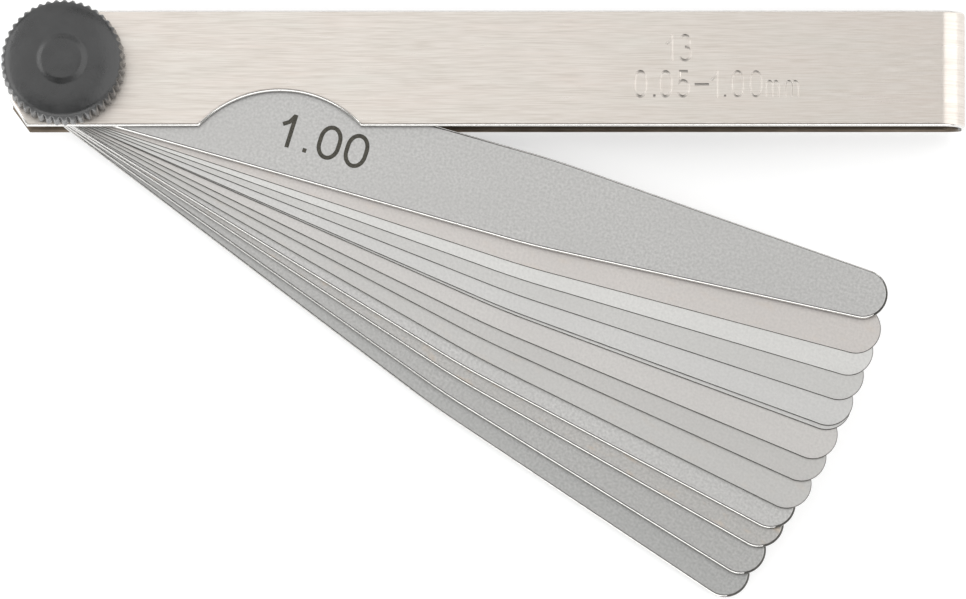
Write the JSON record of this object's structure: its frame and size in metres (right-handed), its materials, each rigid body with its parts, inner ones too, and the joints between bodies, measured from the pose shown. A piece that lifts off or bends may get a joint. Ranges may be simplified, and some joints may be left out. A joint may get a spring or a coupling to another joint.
{
  "type": "feeler gauge",
  "caption": "Folding feeler gauge: tapered spring-steel thickness blades fanned out on a pivot stud in a folded sheet-metal case, clamped by a knurled black knob.",
  "frame": {"origin": "on the blades' pivot axis, at the outer face of the back plate and the flush end of the pivot stud", "axes": "+Z along the pivot axis from the back plate to the knob, +X along the case from the pivot to the fold, and the blades fan out towards -Y"},
  "size_m": [0.1069, 0.0656, 0.0141],
  "materials": {
    "nickel": "finely brushed nickel plate",
    "blade_steel": "satin ground spring steel",
    "stud_steel": "turned bright steel",
    "insert_brass": "machined",
    "knob_plastic": "moulded, fine matte"
  },
  "bodies": {
    "case": {"case": "nickel", "pivot_stud": "stud_steel"},
    "washer": {"washer": "stud_steel"},
    "knob": {"knob": "knob_plastic", "knob_insert": "insert_brass"},
    "blade_1_00": {"blade_1_00": "blade_steel"},
    "blade_0_05": {"blade_0_05": "blade_steel"},
    "blade_0_10": {"blade_0_10": "blade_steel"},
    "blade_0_15": {"blade_0_15": "blade_steel"},
    "blade_0_20": {"blade_0_20": "blade_steel"},
    "blade_0_25": {"blade_0_25": "blade_steel"},
    "blade_0_30": {"blade_0_30": "blade_steel"},
    "blade_0_40": {"blade_0_40": "blade_steel"},
    "blade_0_50": {"blade_0_50": "blade_steel"},
    "blade_0_60": {"blade_0_60": "blade_steel"},
    "blade_0_70": {"blade_0_70": "blade_steel"},
    "blade_0_80": {"blade_0_80": "blade_steel"},
    "blade_0_90": {"blade_0_90": "blade_steel"}
  },
  "joints": [
    {"name": "knob_lift", "type": "slide", "parent": "case", "child": "washer", "axis": [0, 0, 1], "range_m": [0, 0.0007]},
    {"name": "knob_turn", "type": "hinge", "parent": "washer", "child": "knob", "pos_m": [0, 0, 0], "axis": [0, 0, 1], "range_deg": [0, 360]},
    {"name": "blade_1_00_swing", "type": "hinge", "parent": "case", "child": "blade_1_00", "pos_m": [0, 0, 0], "axis": [0, 0, 1], "range_deg": [-164, 16]},
    {"name": "blade_0_05_swing", "type": "hinge", "parent": "case", "child": "blade_0_05", "pos_m": [0, 0, 0], "axis": [0, 0, 1], "range_deg": [-161.6, 18.4]},
    {"name": "blade_0_10_swing", "type": "hinge", "parent": "case", "child": "blade_0_10", "pos_m": [0, 0, 0], "axis": [0, 0, 1], "range_deg": [-160, 20]},
    {"name": "blade_0_15_swing", "type": "hinge", "parent": "case", "child": "blade_0_15", "pos_m": [0, 0, 0], "axis": [0, 0, 1], "range_deg": [-158.2, 21.8]},
    {"name": "blade_0_20_swing", "type": "hinge", "parent": "case", "child": "blade_0_20", "pos_m": [0, 0, 0], "axis": [0, 0, 1], "range_deg": [-156.3, 23.7]},
    {"name": "blade_0_25_swing", "type": "hinge", "parent": "case", "child": "blade_0_25", "pos_m": [0, 0, 0], "axis": [0, 0, 1], "range_deg": [-156, 24]},
    {"name": "blade_0_30_swing", "type": "hinge", "parent": "case", "child": "blade_0_30", "pos_m": [0, 0, 0], "axis": [0, 0, 1], "range_deg": [-153.8, 26.2]},
    {"name": "blade_0_40_swing", "type": "hinge", "parent": "case", "child": "blade_0_40", "pos_m": [0, 0, 0], "axis": [0, 0, 1], "range_deg": [-152.1, 27.9]},
    {"name": "blade_0_50_swing", "type": "hinge", "parent": "case", "child": "blade_0_50", "pos_m": [0, 0, 0], "axis": [0, 0, 1], "range_deg": [-150, 30]},
    {"name": "blade_0_60_swing", "type": "hinge", "parent": "case", "child": "blade_0_60", "pos_m": [0, 0, 0], "axis": [0, 0, 1], "range_deg": [-148.3, 31.7]},
    {"name": "blade_0_70_swing", "type": "hinge", "parent": "case", "child": "blade_0_70", "pos_m": [0, 0, 0], "axis": [0, 0, 1], "range_deg": [-146.8, 33.2]},
    {"name": "blade_0_80_swing", "type": "hinge", "parent": "case", "child": "blade_0_80", "pos_m": [0, 0, 0], "axis": [0, 0, 1], "range_deg": [-144.6, 35.4]},
    {"name": "blade_0_90_swing", "type": "hinge", "parent": "case", "child": "blade_0_90", "pos_m": [0, 0, 0], "axis": [0, 0, 1], "range_deg": [-142.7, 37.3]}
  ],
  "couplings": [
    {"joint": "knob_turn", "follows": "knob_lift", "rad_per_m": 8975}
  ]
}
